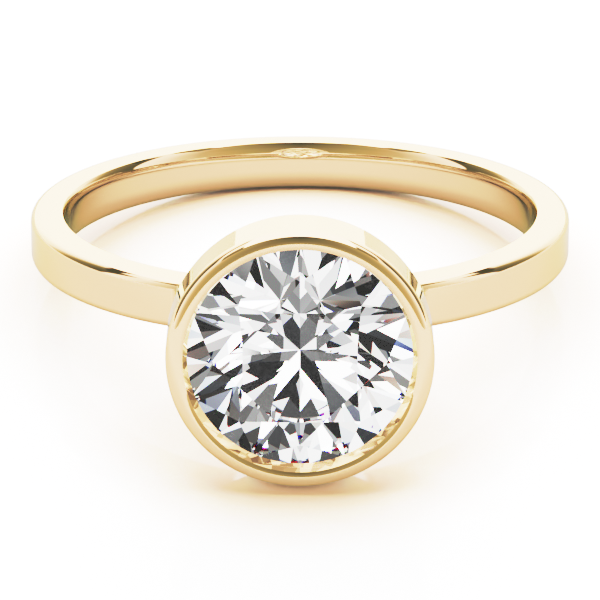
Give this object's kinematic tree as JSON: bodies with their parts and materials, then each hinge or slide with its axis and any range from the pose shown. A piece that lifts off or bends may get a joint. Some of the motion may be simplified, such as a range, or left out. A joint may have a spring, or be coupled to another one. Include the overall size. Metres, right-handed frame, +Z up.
{
  "type": "solitaire engagement ring",
  "caption": "Round brilliant diamond in a plain bezel with a rounded lip, carried by shoulders on a slim flat-sided gold band with a comfort-fit finger hole.",
  "frame": {"origin": "on the floor, under the middle of the ring as it rests on the band's back and the bezel's lower rear edge", "axes": "+Z up; -Y towards the front, the way the diamond faces; +X to the right seen from the front"},
  "size_m": [0.019, 0.0246, 0.0089],
  "materials": {
    "gold": "polished yellow gold, 14 carat",
    "diamond": "faceted and polished, colourless"
  },
  "bodies": {
    "root": {"band_and_bezel": "gold", "diamond": "diamond"}
  },
  "joints": []
}
